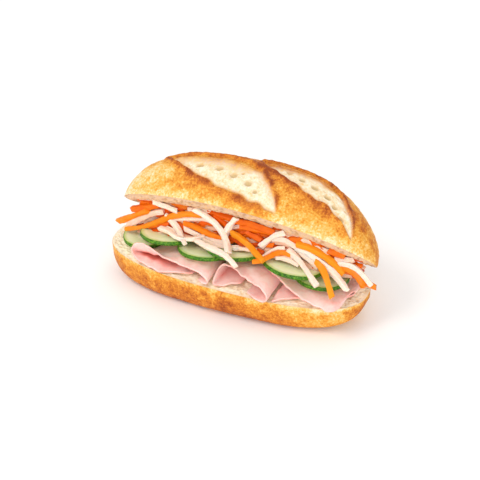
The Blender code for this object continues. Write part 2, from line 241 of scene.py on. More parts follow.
def ripple(points, wavelength, seed, waves=16):
    """A soft random field, about -1 to 1, from a few seeded plane waves."""
    draw = np.random.default_rng(seed)
    turns = draw.normal(size=(waves, 3))
    turns *= (TAU / wavelength * draw.uniform(0.7, 1.5, waves) / np.linalg.norm(turns, axis=1))[:, None]
    phases = draw.uniform(0, TAU, waves)
    total = np.zeros(len(points))
    for turn, phase in zip(turns, phases):
        total += np.cos(points @ turn + phase)
    return total / math.sqrt(waves / 2) / 1.6


def coordinates(mesh):
    flat = np.empty(len(mesh.vertices) * 3, np.float32)
    mesh.vertices.foreach_get("co", flat)
    return flat.reshape(-1, 3).astype(float)


def place_points(mesh, points_mm):
    mesh.vertices.foreach_set("co", (points_mm * MM).astype(np.float32).ravel())
    mesh.update()


def mesh_from(bm, name):
    """Turns a bmesh into a mesh and frees it."""
    mesh = bpy.data.meshes.new(name)
    bm.to_mesh(mesh)
    bm.free()
    return mesh


def unit_rows(vectors):
    return vectors / np.linalg.norm(vectors, axis=1)[:, None]


def corners(mesh):
    """The point that each face corner stands on."""
    found = np.empty(len(mesh.loops), np.int32)
    mesh.loops.foreach_get("vertex_index", found)
    return found


def store_uv(mesh, name, values):
    layer = mesh.uv_layers.new(name=name)
    layer.data.foreach_set("uv", values.astype(np.float32).ravel())


def store(mesh, name, values):
    """Keeps one number for each point, for the material to read."""
    layer = mesh.attributes.new(name, "FLOAT", "POINT")
    layer.data.foreach_set("value", values.astype(np.float32))


def piece_from(name, mesh, material, nodes):
    mesh.name = name
    mesh.shade_smooth()
    mesh.materials.clear()
    mesh.materials.append(material)
    piece = bpy.data.objects.new(name, mesh)
    bpy.context.scene.collection.objects.link(piece)
    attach(piece, "root")
    if nodes:
        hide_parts(*nodes)
    return piece


# ---------------------------------------------------------------- materials


def add(tree, kind, inputs=None, stops=None, **settings):
    """Adds one node with its settings, its values and its links."""
    made = tree.nodes.new(kind)
    for key, value in settings.items():
        setattr(made, key, value)
    if stops:
        elements = made.color_ramp.elements
        while len(elements) < len(stops):
            elements.new(0.5)
        for element, (position, code) in zip(elements, stops):
            element.position = position
            element.color = linear(code)
    for key, value in (inputs or {}).items():
        if isinstance(value, bpy.types.NodeSocket):
            tree.links.new(value, made.inputs[key])
        else:
            made.inputs[key].default_value = value
    return made


def start_material(name):
    material = bpy.data.materials.new(name)
    material.use_nodes = True
    tree = material.node_tree
    tree.nodes.clear()
    shader = add(tree, "ShaderNodeBsdfPrincipled")
    add(tree, "ShaderNodeOutputMaterial", {"Surface": shader.outputs["BSDF"]})
    place = add(tree, "ShaderNodeTexCoord").outputs["Object"]
    return material, tree, shader, place


def per_mm(millimetres):
    """The noise scale whose features are this many millimetres across, on coordinates in metres."""
    return 1000 / millimetres


def noise(tree, place, size_mm, detail=3, roughness=0.55, distortion=0):
    return add(tree, "ShaderNodeTexNoise", {
        "Vector": place, "Scale": per_mm(size_mm), "Detail": detail,
        "Roughness": roughness, "Distortion": distortion,
    }).outputs["Fac"]


def maths(tree, operation, a, b=0.0, c=0.0, clamp=False):
    return add(tree, "ShaderNodeMath", {0: a, 1: b, 2: c}, operation=operation, use_clamp=clamp).outputs[0]


def mixed(tree, amount, a, b):
    return add(tree, "ShaderNodeMix", {"Factor": amount, 6: a, 7: b}, data_type="RGBA").outputs[2]


def ramp(tree, amount, *stops):
    """Colours by amount: each stop is a position and an sRGB hex colour."""
    return add(tree, "ShaderNodeValToRGB", {"Fac": amount}, stops=stops).outputs["Color"]


def attribute(tree, name):
    return add(tree, "ShaderNodeAttribute", attribute_name=name).outputs["Fac"]


def bread_material(look):
    """Baked wheat crust and its crumb. The oven browns the ridges and blisters, and leaves the
    opened slashes and the cut faces pale, matt and full of small holes."""
    material, tree, shader, place = start_material("baked_crust_and_crumb")
    patches = noise(tree, place, 16, 4, 0.6, 0.4)
    blotches = noise(tree, place, 4.5, 3, 0.6)
    grain = noise(tree, place, 1.7, 2, 0.7)  # crackled skin, drawn a little coarse so that it shows
    bake = maths(tree, "MULTIPLY_ADD", patches, 0.5, attribute(tree, "bake"))
    bake = maths(tree, "MULTIPLY_ADD", blotches, 0.6, bake)
    bake = maths(tree, "MULTIPLY_ADD", grain, 0.9, bake)
    bake = maths(tree, "SUBTRACT", bake, 1.0)
    crust = ramp(
        tree, bake, (0.0, "#f8e0b8"), (0.20, "#f3c67a"), (0.38, look.crust_light),
        (0.56, look.crust_mid), (0.76, look.crust_dark), (1.0, "#924113"),
    )
    fine = maths(tree, "MULTIPLY_ADD", blotches, 0.5, maths(tree, "MULTIPLY", grain, 0.5))
    opened = ramp(tree, fine, (0.34, "#e9bd7e"), (0.48, look.bloom), (0.66, "#f8eedc"))
    # painted shade: the dents of the pores are coloured darker
    pored = mixed(tree, attribute(tree, "pore"), opened, linear("#cfb485"))
    crumb = ramp(tree, fine, (0.34, "#f2d3a2"), (0.48, look.crumb), (0.66, "#fff6e2"))
    # painted shade: the holes of the crumb are coloured darker brown
    crumb = mixed(tree, maths(tree, "MULTIPLY", attribute(tree, "hole"), 0.6), crumb, linear("#b98850"))
    colour = mixed(tree, attribute(tree, "bloom"), crust, pored)
    colour = mixed(tree, attribute(tree, "crumb"), colour, crumb)
    soft = maths(tree, "MAXIMUM", attribute(tree, "bloom"), attribute(tree, "crumb"))
    rough = maths(tree, "MULTIPLY_ADD", soft, 0.35, maths(tree, "MULTIPLY_ADD", blotches, 0.2, 0.45))
    bump = add(tree, "ShaderNodeBump", {"Strength": 0.7, "Distance": 0.0009, "Height": fine})
    tree.links.new(colour, shader.inputs["Base Color"])
    tree.links.new(rough, shader.inputs["Roughness"])
    tree.links.new(bump.outputs["Normal"], shader.inputs["Normal"])
    shader.inputs["Specular IOR Level"].default_value = 0.2
    return material


def ham_material(look):
    """Moist cooked ham, cut thin: pale pink lean with faint lighter marbling, and painted shade in red-brown
    deep in a fold, where one layer faces another.
    """
    material, tree, shader, place = start_material("cooked_ham_sliced")
    cloud = noise(tree, place, 9, 3, 0.5, 0.6)
    fine = noise(tree, place, 1.4, 3, 0.6)
    tone = maths(tree, "MULTIPLY_ADD", cloud, 0.75, maths(tree, "MULTIPLY", fine, 0.25))
    lean = ramp(tree, tone, (0.30, look.ham_deep), (0.50, look.ham), (0.72, "#ffded6"))
    lean = mixed(tree, maths(tree, "MULTIPLY", attribute(tree, "rind"), 0.7), lean, linear("#f29a8c"))
    # painted shade: the ham turns red-brown where a layer of the fold faces another, as if in its shadow
    colour = mixed(tree, attribute(tree, "fold"), lean, linear("#d45c46"))
    bump = add(tree, "ShaderNodeBump", {"Strength": 0.25, "Distance": 0.0004, "Height": fine})
    tree.links.new(colour, shader.inputs["Base Color"])
    tree.links.new(bump.outputs["Normal"], shader.inputs["Normal"])
    shader.inputs["Roughness"].default_value = 0.42
    shader.inputs["Subsurface Weight"].default_value = 0.2
    shader.inputs["Subsurface Radius"].default_value = (1.0, 0.35, 0.25)
    shader.inputs["Subsurface Scale"].default_value = 0.0025
    return material


def cucumber_material(look):
    """Fresh cucumber cut across: wet pale flesh, a clearer ring of seeds, and a dark waxy skin."""
    material, tree, shader, place = start_material("cucumber_slice_wet")
    flat = add(tree, "ShaderNodeUVMap", uv_map="slice").outputs["UV"]
    parts = add(tree, "ShaderNodeSeparateXYZ", {"Vector": flat})
    across, up = parts.outputs["X"], parts.outputs["Y"]
    radius = add(tree, "ShaderNodeVectorMath", {0: flat}, operation="LENGTH").outputs["Value"]
    turn = maths(tree, "ARCTAN2", up, across)
    cloud = noise(tree, place, 5, 3, 0.5)
    wobble = maths(tree, "MULTIPLY_ADD", cloud, 0.10, maths(tree, "SUBTRACT", radius, 0.05))
    flesh = ramp(
        tree, wobble, (0.0, "#f4f5dc"), (0.30, "#ebf0ca"), (0.42, "#dce6b4"),
        (0.60, look.cucumber_flesh), (0.80, "#e6eec6"), (0.955, "#bcd379"),
    )
    # fifteen seeds, evenly round the middle
    wedge = maths(tree, "SINE", maths(tree, "MULTIPLY", turn, 15))
    off_ring = maths(tree, "ABSOLUTE", maths(tree, "SUBTRACT", radius, 0.36))
    ring = maths(tree, "SUBTRACT", 1.0, maths(tree, "MULTIPLY", off_ring, 5.5), clamp=True)
    seeds = maths(tree, "MULTIPLY", maths(tree, "GREATER_THAN", wedge, 0.45), ring)
    flesh = mixed(tree, maths(tree, "MULTIPLY", seeds, 0.45), flesh, linear("#f6f3d6"))
    mottle = noise(tree, place, 1.6, 3, 0.7)
    skin = ramp(tree, mottle, (0.36, "#1d4a06"), (0.50, look.cucumber_skin), (0.66, "#6f9c22"))
    colour = mixed(tree, attribute(tree, "skin"), flesh, skin)
    bump = add(tree, "ShaderNodeBump", {"Strength": 0.2, "Distance": 0.0004, "Height": cloud})
    tree.links.new(colour, shader.inputs["Base Color"])
    tree.links.new(bump.outputs["Normal"], shader.inputs["Normal"])
    rough = maths(tree, "MULTIPLY_ADD", attribute(tree, "skin"), 0.2, 0.3)
    tree.links.new(rough, shader.inputs["Roughness"])
    shader.inputs["Specular IOR Level"].default_value = 0.3
    shader.inputs["Subsurface Weight"].default_value = 0.2
    shader.inputs["Subsurface Radius"].default_value = (0.8, 1.0, 0.4)
    shader.inputs["Subsurface Scale"].default_value = 0.002
    return material


def shred_material(name, light, mid, deep, clear):
    """A pickled root cut in strips: wet, with fibres that run along it."""
    material, tree, shader, place = start_material(name)
    strand = add(tree, "ShaderNodeUVMap", uv_map="strand").outputs["UV"]
    stretched = add(tree, "ShaderNodeMapping", {"Vector": strand, "Scale": (0.05, 1.0, 1.0)}).outputs[0]
    fibre = add(tree, "ShaderNodeTexNoise", {"Vector": stretched, "Scale": 3.0, "Detail": 3.0}).outputs["Fac"]
    cloud = noise(tree, place, 7, 2, 0.5)
    tone = maths(tree, "MULTIPLY_ADD", fibre, 0.5, maths(tree, "MULTIPLY", cloud, 0.5))
    # tone: lighter on shreds lifted off the heap and darker on those packed behind, as painted light and
    # shade, plus random variation
    tone = maths(tree, "ADD", attribute(tree, "tone"), maths(tree, "SUBTRACT", tone, 0.30))
    colour = ramp(tree, tone, (0.10, deep), (0.40, mid), (0.90, light))
    bump = add(tree, "ShaderNodeBump", {"Strength": 0.35, "Distance": 0.0003, "Height": fibre})
    tree.links.new(colour, shader.inputs["Base Color"])
    tree.links.new(bump.outputs["Normal"], shader.inputs["Normal"])
    shader.inputs["Roughness"].default_value = 0.36
    shader.inputs["Specular IOR Level"].default_value = 0.2
    shader.inputs["Subsurface Weight"].default_value = clear
    shader.inputs["Subsurface Radius"].default_value = (1.0, 0.6, 0.4)
    shader.inputs["Subsurface Scale"].default_value = 0.003
    return material


def core_material():
    """The shaded inside of the heap, packed shreds seen only between the top ones; its dark red-orange colour
    is painted shade.
    """
    material, tree, shader, place = start_material("packed_shreds")
    streaks = add(tree, "ShaderNodeMapping", {"Vector": place, "Scale": (0.25, 1.0, 1.0)}).outputs[0]
    tone = noise(tree, streaks, 4, 2, 0.5, 0.5)
    colour = ramp(tree, tone, (0.36, "#b9400a"), (0.50, "#d9702a"), (0.58, "#e9c0a0"), (0.70, "#f2ddc8"))
    tree.links.new(colour, shader.inputs["Base Color"])
    shader.inputs["Roughness"].default_value = 0.4
    return material


# ---------------------------------------------------------------- the roll


def sphere_along_x(around, lengthways):
    """A unit sphere with its poles at the roll's two ends, as a mesh."""
    bm = bmesh.new()
    bmesh.ops.create_uvsphere(bm, u_segments=around, v_segments=lengthways, radius=1)
    bmesh.ops.rotate(bm, verts=bm.verts, matrix=Matrix.Rotation(math.pi / 2, 3, "Y"))
    return mesh_from(bm, "roll")


def even_along(x):
    """Spreads the sphere's rings more evenly along the roll, still closer at its ends."""
    return 0.5 * x + 0.5 * 2 / math.pi * np.arcsin(np.clip(x, -1, 1))


def pits(points, centres, radius):
    """How deep in the nearest pit each point lies, 0 to 1."""
    tree = KDTree(len(centres))
    for k, centre in enumerate(centres):
        tree.insert(centre, k)
    tree.balance()
    found = np.array([tree.find(p)[1:] for p in points])
    return smooth(1 - found[:, 1] / radius[found[:, 0].astype(int)])


def crumb_relief(along, across_mm, half_length, half_wide, seed):
    """The torn, open crumb of a cut face: its height in mm, and how much each point is in a hole."""
    draw = np.random.default_rng(seed)
    count = 900
    centres = np.stack([
        draw.uniform(-half_length, half_length, count),
        draw.uniform(-half_wide, half_wide, count),
        np.zeros(count),
    ], axis=1)
    radius = draw.uniform(0.9, 2.6, count) * draw.uniform(0.7, 1.2, count)
    flat = np.stack([along, across_mm, np.zeros(len(along))], axis=1)
    hole = pits(flat, centres, radius)
    height = 0.45 * ripple(flat, 14, seed + 1) + 0.3 * ripple(flat, 3.2, seed + 2) - 0.9 * hole
    return height, hole


def slash_values(along, degrees):
    """Relief in mm, and the masks bloom, ridge and pore, of the slashes at points of the dome."""
    relief = np.zeros(len(along))
    bloom = np.zeros(len(along))
    ridge = np.zeros(len(along))
    pore = np.zeros(len(along))
    for slash in SLASHES:
        ragged = ripple(np.stack([along, degrees * 0.3, 0 * along], axis=1), 11, 13)
        low = edge_at(slash["low"], along) + 1.3 * ragged
        high = edge_at(slash["high"], along) - 1.0 * ragged
        within = smooth((along - slash["low"][0][0]) / 3) * smooth((slash["low"][-1][0] - along) / 3)
        from_low = (degrees - low) * MM_PER_DEGREE * 0.85
        from_high = (high - degrees) * MM_PER_DEGREE * 0.85
        inside = np.minimum(from_low, from_high)
        burn = np.where(
            from_low < from_high,
            np.interp(along, *zip(*slash["low_burn"])),
            np.interp(along, *zip(*slash["high_burn"])),
        )
        outside = smooth(1 + inside / 7) * (inside <= 0)
        lip = LIP_HEIGHT * outside
        groove = (inside > 0) * (
            LIP_HEIGHT * smooth(1 - inside / 1.6)
            - GROOVE_DEPTH * smooth(inside / 1.6) * (1 - 0.75 * smooth((inside - 1.6) / 7))
        )
        relief += within * (lip + groove)
        # the opened crumb is toasted where it meets the crust, more so along its upper edge
        steep = smooth((along - slash["high"][-3][0] + 22) / 20)
        start, width = slash["toasted"]
        toasted = smooth((from_high - start * (1 - steep)) / (width + (5 - width) * steep))
        bloom = np.maximum(bloom, within * smooth((from_low - 0.4) / 3) * toasted)
        broad = (inside < -1) | (from_high < from_low)
        crest = np.exp(-((inside + 1.0) / np.where(broad, 2.8, 1.9)) ** 2)
        crest += 0.5 * smooth(1 + inside / 13) * (inside < 0)
        ridge = np.maximum(ridge, within * burn * crest)
        for at, middle, size in slash["pores"]:
            reach = np.hypot((along - at) / 1.25, (degrees - middle) * MM_PER_DEGREE) / size
            pore = np.maximum(pore, smooth(2.0 - 2.0 * reach))
    relief -= PORE_DEPTH * pore * bloom
    return relief, bloom, ridge, pore * bloom


def make_lid(look):
    detail = 1
    around, lengthways = int(300 * detail) // 20 * 20, int(250 * detail)
    mesh = sphere_along_x(around, lengthways)
    unit = coordinates(mesh)
    along = even_along(unit[:, 0]) * LID_HALF_LENGTH
    share = along / LID_HALF_LENGTH
    # seven tenths of the points round the roll go to the crust, the rest to the cut face
    turn = np.mod(np.arctan2(unit[:, 2], -unit[:, 1]) + 0.2 * math.pi + 1e-6, TAU) - 1e-6
    on_crust = turn <= 1.4 * math.pi + 2e-6
    angle = np.clip(turn / 1.4, 0, math.pi)
    across_cut = 1 - 2 * np.clip((turn - 1.4 * math.pi) / (0.6 * math.pi), 0, 1)
    wide = half_width(along, LID_HALF_LENGTH, LID_HALF_WIDTH, LID_PLAN_POWER)
    end_power = np.where(along < 0, LID_LEFT_POWERS[0], LID_RIGHT_POWERS[0])
    end_root = np.where(along < 0, LID_LEFT_POWERS[1], LID_RIGHT_POWERS[1])
    high = LID_HEIGHT * np.maximum(0, 1 - np.abs(share) ** end_power) ** (1 / end_root)
    high *= 1 + LID_LEAN * share * (1 - share**2)
    section = 2 / LID_SECTION_POWER
    across = np.where(on_crust, -wide * signed_power(np.cos(angle), section), wide * across_cut)
    up = np.where(on_crust, high * np.maximum(0, np.sin(angle)) ** section, 0)
    degrees = np.degrees(angle)
    relief, bloom, ridge, pore = slash_values(along, degrees)
    crust_near = smooth(np.sin(angle) / 0.12)  # nothing stands out at the very edge of the cut
    local = np.stack([along, across, up], axis=1)
    outward = local / np.array([LID_HALF_LENGTH, LID_HALF_WIDTH, LID_HEIGHT]) ** 2
    outward /= np.maximum(np.linalg.norm(outward, axis=1), 1e-9)[:, None]
    relief = relief + 0.45 * ripple(local, 38, 11) + (0.18 + 0.22 * bloom) * ripple(local, 6, 12)
    local += outward * (relief * crust_near * on_crust)[:, None]
    height, hole = crumb_relief(along, across, LID_HALF_LENGTH, LID_HALF_WIDTH, 21)
    inner = smooth((1 - np.abs(across_cut)) / 0.10) * smooth((1 - np.abs(share)) / 0.04)
    from_edge = (1 + across_cut) * wide
    bulge = smooth(from_edge / 8) * smooth((26 - from_edge) / 16) * smooth((1 - np.abs(share)) / 0.1)
    local[:, 2] -= np.where(on_crust, 0, inner * height + CRUMB_BULGE * bulge)
    local[:, 2] += LID_ARCH * (1 - share**2)
    opened = Matrix.Rotation(-LID_OPENING, 3, "X")
    turned = np.array(Matrix.Rotation(LID_PITCH, 3, "Y") @ opened)
    place_points(mesh, local @ turned.T + np.array(LID_CENTRE))

    bake = 0.43 + 0.08 * smooth((degrees - 25) / 40)
    bake = bake + 0.05 * ripple(local, 40, 31) + 0.06 * ripple(local, 12, 32)
    bake -= 0.20 * np.exp(-((degrees / 6) ** 2)) + 0.20 * np.exp(-(((180 - degrees) / 9) ** 2))
    for at, middle, size, amount in BAKED_PATCHES:
        reach = np.hypot(along - at, (degrees - middle) * MM_PER_DEGREE) / size
        bake += amount * np.exp(-(reach**2))
    bake += 0.30 * ridge * (1 + 0.3 * ripple(local, 9, 33))
    bake = bake * (1 - bloom) + 0.42 * bloom
    # Painted shade: the lid's cut face faces down, so its crumb keeps only six tenths of the crumb colour
    # over a darker crust tone, and its hole darkening is at least 0.4 all over; the darker line along its
    # crust edge is crust specks.
    speckled = 0.66 + 0.30 * np.exp(-from_edge / 1.5) * (1 + ripple(local, 3, 34)) + 0.25 * hole
    store(mesh, "bake", np.where(on_crust, bake, speckled))
    store(mesh, "bloom", bloom * on_crust)
    # pore: the dents in the opened slashes, painted darker as shade
    store(mesh, "pore", pore * on_crust)
    store(mesh, "crumb", np.where(on_crust, 0, 0.6 * smooth((1 - np.abs(across_cut)) * wide / 1.2)))
    store(mesh, "hole", np.where(on_crust, 0, np.minimum(1, 0.4 + 1.4 * hole) * inner))
    return piece_from("roll_upper_half", mesh, bread_material(look), ["bread_lid"])


def make_base(look):
    detail = 1
    around, lengthways = int(260 * detail) // 20 * 20, int(230 * detail)
    mesh = sphere_along_x(around, lengthways)
    unit = coordinates(mesh)
    share = even_along(unit[:, 0])
    along = share * BASE_HALF_LENGTH
    # six tenths of the points round the roll go to the crust, the rest to the cut face
    turn = np.mod(np.arctan2(-unit[:, 2], -unit[:, 1]) + 0.1 * math.pi + 1e-6, TAU) - 1e-6
    on_crust = turn <= 1.2 * math.pi + 2e-6
    angle = np.clip(turn / 1.2, 0, math.pi)
    across_cut = 1 - 2 * np.clip((turn - 1.2 * math.pi) / (0.8 * math.pi), 0, 1)
    wide = half_width(along, BASE_HALF_LENGTH, BASE_HALF_WIDTH, BASE_PLAN_POWER)
    top = BASE_HEIGHT - BASE_FALL * along
    end_power, end_root = BASE_END_POWERS
    past_flat = np.maximum(0, np.abs(share) - BASE_FLAT_LENGTH_SHARE) / (1 - BASE_FLAT_LENGTH_SHARE)
    depth = np.maximum(0, 1 - np.abs(share) ** end_power) ** (1 / end_root)
    bottom = top - (top - BASE_TIP_LIFT * past_flat**3) * depth
    step = np.minimum(angle, math.pi - angle) / (math.pi / 2)
    corner = 0.75
    around_side = np.clip(step / corner, 0, 1) * math.pi / 2
    flat = BASE_FLAT_SHARE * wide
    section = 2 / BASE_SIDE_POWER
    reach = np.where(
        step < corner,
        flat + (wide - flat) * np.maximum(0, np.cos(around_side)) ** section,
        flat * (1 - step) / (1 - corner),
    )
    height = np.where(step < corner, top - (top - bottom) * np.sin(around_side) ** section, bottom)
    across = np.where(on_crust, np.where(angle < math.pi / 2, -reach, reach), wide * across_cut)
    up = np.where(on_crust, height, top)
    local = np.stack([along, across, up], axis=1)
    outward = np.stack([along / 400, across, np.zeros(len(along))], axis=1)
    outward /= np.maximum(np.linalg.norm(outward, axis=1), 1e-9)[:, None]
    side = smooth(1.2 - step / corner) * smooth(step / 0.05) * on_crust
    relief = 0.6 * ripple(local, 34, 41) + 0.2 * ripple(local, 7, 42)
    local += outward * (relief * side)[:, None]
    crumb_height, hole = crumb_relief(along, across, BASE_HALF_LENGTH, BASE_HALF_WIDTH, 51)
    inner = smooth((1 - np.abs(across_cut)) / 0.08) * smooth((1 - np.abs(share)) / 0.04)
    local[:, 2] += np.where(on_crust, 0, inner * (crumb_height - 0.35))
    local[:, 0] += BASE_CENTRE_X
    place_points(mesh, local)

    bake = 0.64 + 0.05 * ripple(local, 30, 61) + 0.07 * ripple(local, 10, 62)
    bake += 0.06 * np.exp(-(((along + 5) / 40) ** 2))
    bake -= 0.24 * smooth((along - 40) / 50) * smooth((112 - along) / 14)  # paler towards the right end
    bake += 0.14 * np.exp(-(((step - 0.55) / 0.2) ** 2)) - 0.26 * np.exp(-((step / 0.07) ** 2))
    bake -= 0.06 * smooth((step - 0.8) / 0.1)
    store(mesh, "bake", np.where(on_crust, bake, 0.25))
    store(mesh, "bloom", np.zeros(len(along)))
    store(mesh, "pore", np.zeros(len(along)))
    store(mesh, "crumb", np.where(on_crust, 0, smooth((1 - np.abs(across_cut)) * wide / 1.2)))
    # hole: the pits of the crumb, painted darker as shade
    store(mesh, "hole", np.where(on_crust, 0, 0.55 * hole * inner))
    material = bpy.data.materials.get("baked_crust_and_crumb") or bread_material(look)
    return piece_from("roll_lower_half", mesh, material, ["bread_base"])


# ---------------------------------------------------------------- ham


def merged_copy(node):
    """A copy of a frame node's mesh with its loose triangles joined up again."""
    bm = bmesh.new()
    bm.from_mesh(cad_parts[node].data)
    bmesh.ops.remove_doubles(bm, verts=bm.verts, dist=0.01 * MM)
    bmesh.ops.join_triangles(
        bm, faces=bm.faces, angle_face_threshold=math.radians(40), angle_shape_threshold=math.radians(60),
    )
    return bm


def slice_masks(mesh):
    """For each point of a folded slice: how closely it faces another layer, which is painted as shade, and
    whether it is cut edge.
    """
    bm = bmesh.new()
    bm.from_mesh(mesh)
    bm.verts.ensure_lookup_table()
    tree = BVHTree.FromBMesh(bm)
    found = np.zeros(len(bm.verts))
    edge = np.zeros(len(bm.verts))
    for vert in bm.verts:
        through = tree.ray_cast(vert.co - vert.normal * 0.05 * MM, -vert.normal, HAM_THROUGH * MM)
        edge[vert.index] = through[0] is None
        hit = tree.ray_cast(vert.co + vert.normal * 0.3 * MM, vert.normal, HAM_FACING * MM)
        if hit[0] is not None:
            found[vert.index] = 1 - hit[3] / (HAM_FACING * MM)
    neighbours = np.array([[e.verts[0].index, e.verts[1].index] for e in bm.edges])
    rim = np.flatnonzero(edge)
    near = KDTree(len(rim))
    for k in rim:
        near.insert(bm.verts[k].co, int(k))
    near.balance()
    inward = np.array([near.find(vert.co)[2] for vert in bm.verts]) / MM
    bm.free()
    found *= smooth((inward - 1.5) / 9)
    for _ in range(6):
        total = found.copy()
        count = np.ones(len(found))
        for a, b in (neighbours.T, neighbours[:, ::-1].T):
            np.add.at(total, a, found[b])
            np.add.at(count, a, 1)
        found = total / count
    return 0.85 * smooth(found * 1.4), edge


def make_ham(number, material):
    """A slice rounded by subdivision, and rippled along its front as moist ham is."""
    name = f"ham_{number}"
    rough = bpy.data.objects.new("rough", mesh_from(merged_copy(name), name))
    bpy.context.scene.collection.objects.link(rough)
    finer = rough.modifiers.new("finer", "SUBSURF")
    finer.levels = finer.render_levels = 3
    fine = bpy.data.meshes.new_from_object(
        rough.evaluated_get(bpy.context.evaluated_depsgraph_get()), preserve_all_data_layers=False,
    )
    bpy.data.objects.remove(rough)
    points = coordinates(fine) / MM
    front = smooth((-18 - points[:, 1]) / 10)
    points[:, 2] += 0.45 * front * ripple(points * np.array([1, 0.4, 0]), 9, 70 + number)
    points[:, 1] += 0.5 * front * ripple(points * np.array([1, 0, 0.3]), 7, 75 + number)
    place_points(fine, points)
    # the fold mask is painted shade inside the folds
    fold, edge = slice_masks(fine)
    store(fine, "fold", fold)
    store(fine, "rind", edge)
    return piece_from(f"ham_slice_{number}", fine, material, [name])


# ---------------------------------------------------------------- cucumber


def make_cucumber(number, material):
    """A slice where its frame node lies, with rings of points for flesh, rim and skin."""
    node = f"cucumber_{number}"
    cloud = coordinates(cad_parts[node].data)
    centre = (cloud.min(axis=0) + cloud.max(axis=0)) / 2
    spread = np.cov((np.unique(cloud.round(6), axis=0) - centre).T)
    normal = Vector(np.linalg.eigh(spread)[1][:, 0])  # the direction in which the slice is thinnest
    if normal.z < 0:
        normal.negate()
    reach = (cloud - centre) @ np.array(normal)
    radius = np.linalg.norm(cloud - centre, axis=1).max() / MM
    thickness = (reach.max() - reach.min()) / MM

    bm = bmesh.new()
    bmesh.ops.create_circle(bm, cap_ends=True, segments=96, radius=1)
    for inset in (0.05, 0.05, 0.10, 0.15, 0.18, 0.18, 0.14):
        bmesh.ops.inset_individual(bm, faces=[f for f in bm.faces if len(f.verts) > 4], thickness=inset)
    top = list(bm.faces)
    raised = bmesh.ops.extrude_face_region(bm, geom=top)
    lifted = [item for item in raised["geom"] if isinstance(item, bmesh.types.BMVert)]
    bmesh.ops.translate(bm, verts=lifted, vec=(0, 0, 1))
    upright = [e for e in bm.edges if abs(e.verts[0].co.z - e.verts[1].co.z) > 0.5]
    rim = [e for e in upright if all(v.co.xy.length > 0.99 for v in e.verts)]
    bmesh.ops.subdivide_edges(bm, edges=rim, cuts=4, use_grid_fill=True)
    bmesh.ops.recalc_face_normals(bm, faces=bm.faces)
    mesh = mesh_from(bm, node)
    unit = coordinates(mesh)
    ring = np.hypot(unit[:, 0], unit[:, 1])
    turn = np.arctan2(unit[:, 1], unit[:, 0])
    uneven = 1 - 0.012 - 0.010 * np.cos(3 * turn + number) - 0.005 * np.sin(7 * turn + 2 * number)
    rounding = 1 - 0.022 * np.abs(2 * unit[:, 2] - 1) ** 3 * (ring > 0.985)
    flat = unit[:, :2] * (uneven * rounding * radius * 0.995)[:, None]
    dip = 0.18 * smooth((ring - 0.25) / 0.1) * smooth((0.55 - ring) / 0.1)
    pebble = 0.10 * ripple(np.stack([flat[:, 0], flat[:, 1], 0 * ring], axis=1), 4, 90 + number)
    height = (unit[:, 2] - 0.5) * thickness
    height += np.sign(unit[:, 2] - 0.5) * (np.abs(unit[:, 2] - 0.5) > 0.49) * (pebble - dip) * (ring < 0.97)
    bend = 0.5 * (flat[:, 0] / radius) ** 2 - 0.2
    local = np.column_stack([flat, height + bend])
    turned = np.array(Vector((0, 0, 1)).rotation_difference(normal).to_matrix())
    place_points(mesh, local @ turned.T + centre / MM)
    store_uv(mesh, "slice", unit[corners(mesh), :2])
    store(mesh, "skin", smooth((ring - 0.955) / 0.02))
    return piece_from(f"cucumber_slice_{number}", mesh, material, [node])


# ---------------------------------------------------------------- carrot and daikon


def lid_underside(x, y):
    """Height in mm of the lid's cut face over a place."""
    along = x - LID_CENTRE[0]
    arch = LID_ARCH * np.maximum(0, 1 - (along / LID_HALF_LENGTH) ** 2)
    back = (y - LID_CENTRE[1] - arch * math.sin(LID_OPENING)) / math.cos(LID_OPENING)
    fall = math.tan(LID_PITCH) * along + back * math.sin(LID_OPENING)
    return LID_CENTRE[2] - fall + arch * math.cos(LID_OPENING)


def heap_front(x, climb):
    """A point of the heap's front face, from mm along the roll and how far up it is."""
    x = np.asarray(x, float)
    climb = np.asarray(climb, float)
    ends = np.maximum(0.05, 1 - np.abs(x / 112) ** 3) ** (1 / 2.2)
    floor = np.interp(x, *zip(*HEAP_FLOOR))
    top = lid_underside(x, -4 * ends) - 3
    steps = (-0.4, 0.0, 0.2, 0.42, 0.62, 1.0)
    depths = [-42 * ends, -31 * ends, -20 * ends, -9 * ends, -5 * ends, -4 * ends]
    heights = [floor - 6, floor + 1.5, floor + 1.2, floor + 3, floor + 3 + 0.33 * (top - floor - 3), top]
    y = np.zeros_like(x)
    z = np.zeros_like(x)
    for k in range(len(steps) - 1):
        inside = (climb >= steps[k]) & (climb <= steps[k + 1])
        t = (climb - steps[k]) / (steps[k + 1] - steps[k])
        y = np.where(inside, depths[k] + (depths[k + 1] - depths[k]) * t, y)
        z = np.where(inside, heights[k] + (heights[k + 1] - heights[k]) * t, z)
    return np.stack([x, y, z], axis=-1)


def lifted_route(route, lift):
    """A shred's middle line on the heap's front, raised off it by its lift."""
    pieces = spline(route, 40)
    climb = np.clip(pieces[:, 1], -0.4, 1.0)
    surface = heap_front(pieces[:, 0], climb)
    steep = smooth((climb - 0.25) / 0.35)
    outward = np.stack([0 * steep, -steep, 1 - 0.8 * steep], axis=1)
    outward = unit_rows(outward)
    line = surface + outward * lift
    # stiff strips take the surface's corners in wide bends
    for _ in range(50):
        line[1:-1] += 0.5 * ((line[:-2] + line[2:]) / 2 - line[1:-1])
    return spline(line[::3], SHRED_STEPS + 1), outward[np.linspace(0, 39, SHRED_STEPS + 1).astype(int)]


